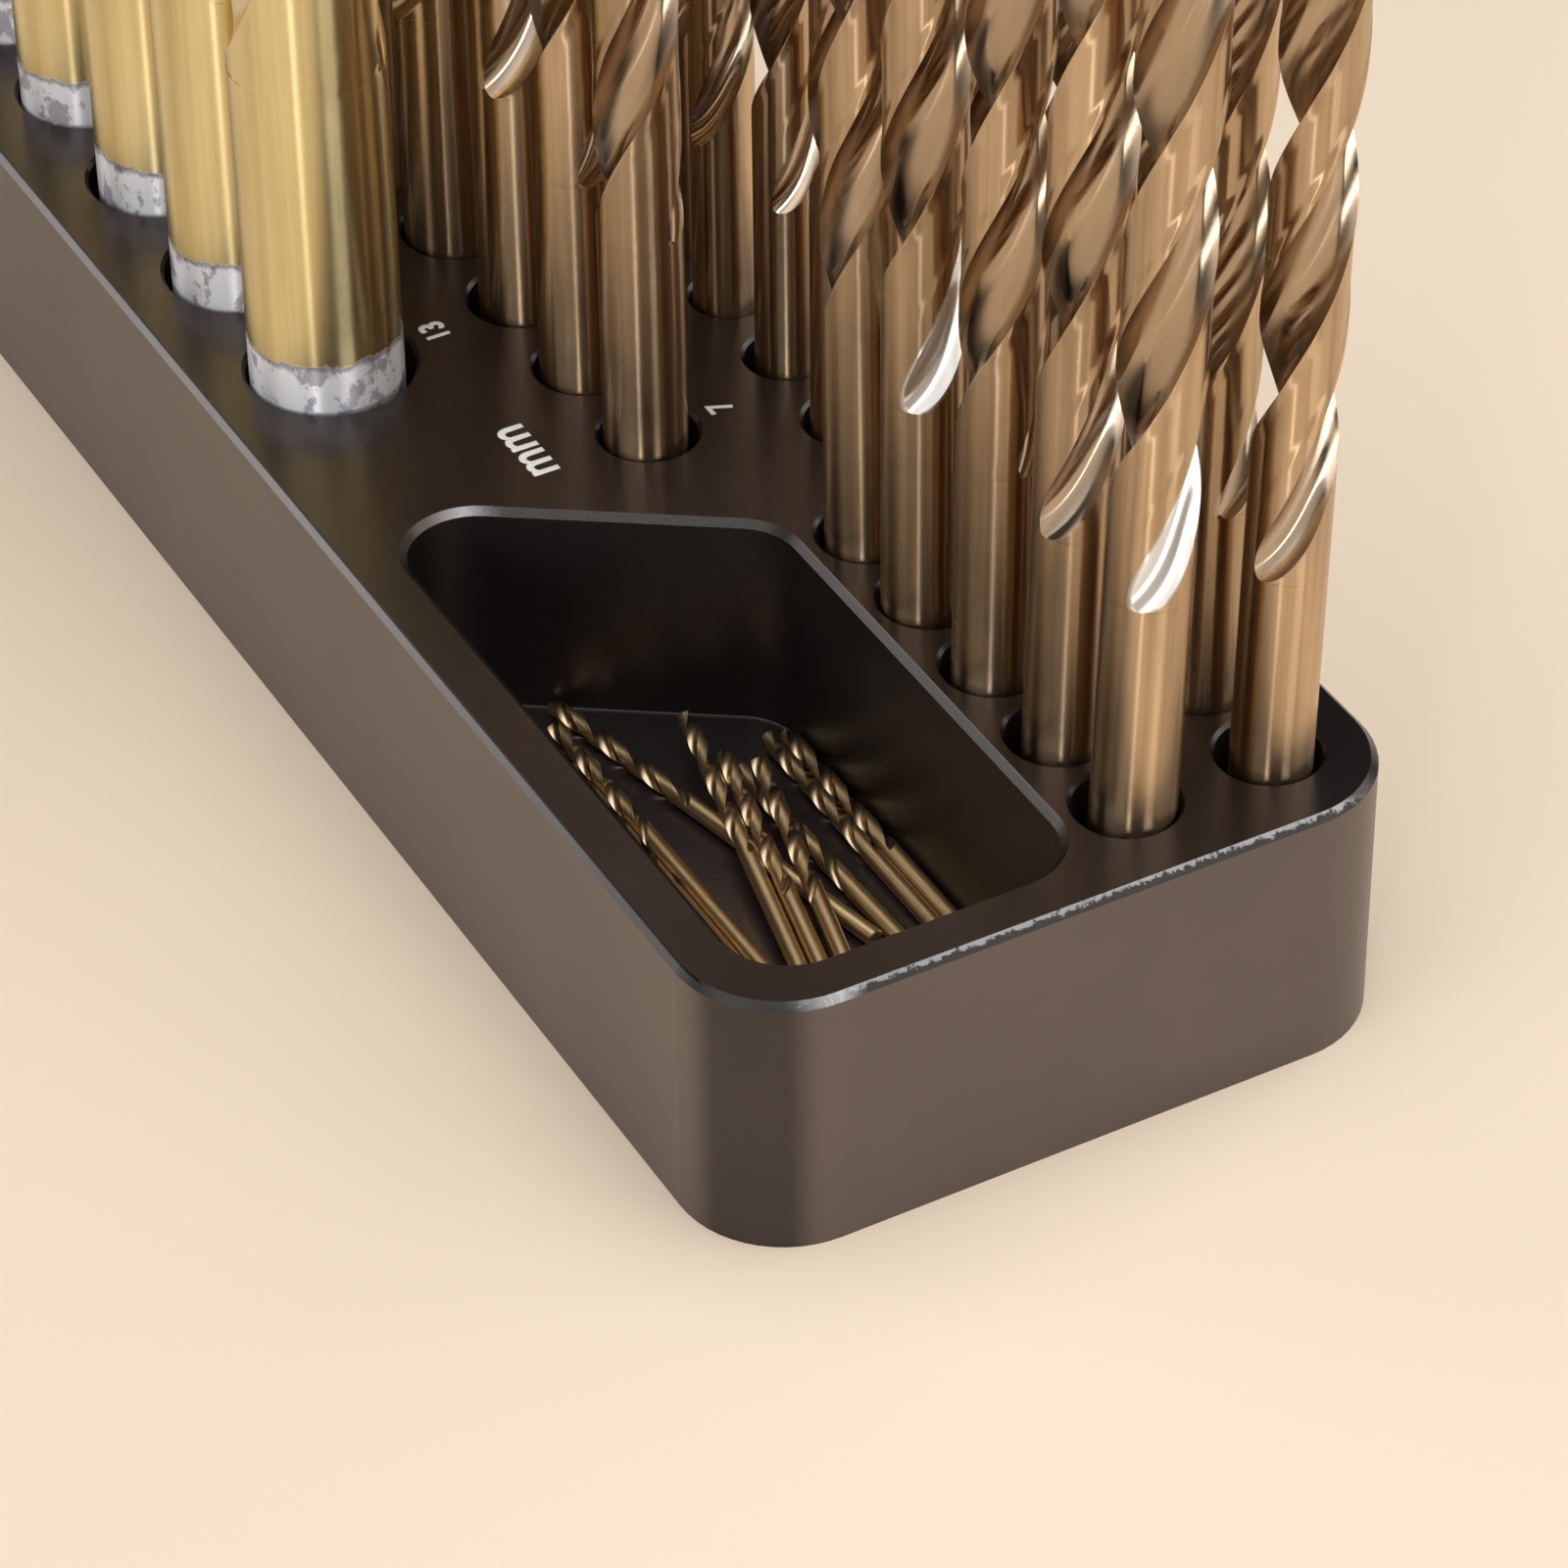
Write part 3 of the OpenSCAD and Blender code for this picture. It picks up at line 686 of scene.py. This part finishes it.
def make_numbers(material):
    """A size number in front of every sized hole, and the unit beside the rows, as one print."""
    tree = number_tree(material)
    print_mesh = bmesh.new()

    def stamp(text, height, x, y):
        mesh = mesh_from_tree("number", tree, {"Text": text, "Height": height, "Ink": INK,
                                               "Spread": SPREAD})
        mesh.transform(Matrix.Translation((x, y, BLOCK_TOP)))
        print_mesh.from_mesh(mesh)
        bpy.data.meshes.remove(mesh)

    for index, node in enumerate(BITS):
        if not node.endswith("mm"):
            continue
        foot, _, _, diameter, _ = bit_axis(node)
        play = min(MOST_PLAY, LEAST_PLAY + (diameter - MM) * PLAY_STEP)
        rest = REST_SHARE * play / 2
        heading = REST_HEADING + REST_SPREAD * math.sin(math.radians(FLUTE_STEP * index))
        x = foot.x - rest * math.cos(heading)
        y = foot.y - rest * math.sin(heading)
        stamp(f"{diameter / MM:.1f}".removesuffix(".0"), NUMBER_HEIGHT,
              x, y - (diameter + play) / 2 - NUMBER_GAP)
    stamp("mm", UNIT_HEIGHT, *UNIT_PLACE)
    mesh = bpy.data.meshes.new("size_numbers")
    print_mesh.to_mesh(mesh)
    print_mesh.free()
    mesh.materials.append(material)
    piece = bpy.data.objects.new("size_numbers", mesh)
    bpy.context.scene.collection.objects.link(piece)
    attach(piece, BLOCK)


# Stage, light and camera

FLOOR_REACH = 4.0
SKY = (0.95, 0.97, 1.0, 1)
SKY_STRENGTH = 0.03
LAMP_TARGET = (0, 0, 0.05)
FILL_TARGET = (0, 0.05, 0.02)
CLIP_START = 0.01


def make_floor(material):
    """A plain square floor round the stand."""
    mesh = bpy.data.meshes.new("floor")
    corners = [(-FLOOR_REACH, -FLOOR_REACH, 0), (FLOOR_REACH, -FLOOR_REACH, 0),
               (FLOOR_REACH, FLOOR_REACH, 0), (-FLOOR_REACH, FLOOR_REACH, 0)]
    mesh.from_pydata(corners, [], [(0, 1, 2, 3)])
    mesh.materials.append(material)
    floor = bpy.data.objects.new("floor", mesh)
    bpy.context.scene.collection.objects.link(floor)


def add_softbox(name, place, target, width, height, power):
    """A rectangular lamp that faces its target, in metres and watts."""
    lamp = bpy.data.lights.new(name, "AREA")
    lamp.shape = "RECTANGLE"
    lamp.size = width
    lamp.size_y = height
    lamp.energy = power
    holder = bpy.data.objects.new(name, lamp)
    holder.location = place
    holder.rotation_euler = (Vector(target) - Vector(place)).to_track_quat("-Z", "Y").to_euler()
    bpy.context.scene.collection.objects.link(holder)


def light_scene():
    """Soft boxes round the stand, low strips that draw lines on the shanks, and a dim sky."""
    world = bpy.data.worlds.new("studio")
    world.use_nodes = True
    sky = world.node_tree.nodes["Background"]
    sky.inputs["Color"].default_value = SKY
    sky.inputs["Strength"].default_value = SKY_STRENGTH
    bpy.context.scene.world = world
    add_softbox("key", (-1.36, -1.22, 1.29), LAMP_TARGET, 1.36, 1.36, 12)
    add_softbox("overhead", (-0.1, 0.1, 1.35), LAMP_TARGET, 1.4, 1.4, 14.5)
    add_softbox("fill", (-0.51, 1.75, 0.80), FILL_TARGET, 1.7, 0.85, 9.2)
    add_softbox("rim", (1.62, 1.48, 0.85), LAMP_TARGET, 0.94, 0.68, 4.9)
    add_softbox("right", (0.0, -1.79, 0.90), LAMP_TARGET, 1.7, 1.02, 12)
    add_softbox("strip", (-1.29, 1.12, 0.39), LAMP_TARGET, 0.17, 0.6, 5.5)
    add_softbox("end strip", (-1.84, -0.14, 0.39), LAMP_TARGET, 0.61, 0.6, 7.5)


def set_camera():
    """The photograph's view."""
    lens = bpy.data.cameras.new("camera")
    lens.lens = CAMERA_LENS
    lens.sensor_width = CAMERA_SENSOR
    lens.clip_start = CLIP_START
    holder = bpy.data.objects.new("camera", lens)
    look = (CAMERA_TARGET - CAMERA_PLACE).to_track_quat("-Z", "Y").to_matrix().to_4x4()
    holder.matrix_world = Matrix.Translation(CAMERA_PLACE) @ look @ Matrix.Rotation(CAMERA_ROLL, 4, "Z")
    bpy.context.scene.collection.objects.link(holder)
    bpy.context.scene.camera = holder


set_camera()
light_scene()
make_floor(pale_table())

frame["nodes"][BLOCK].data.materials.clear()
frame["nodes"][BLOCK].data.materials.append(anodised_black())

make_bits({name: ground_steel(name, **finish) for name, finish in FINISHES.items()})
make_numbers(white_print())

bpy.context.scene.view_settings.view_transform = "Standard"
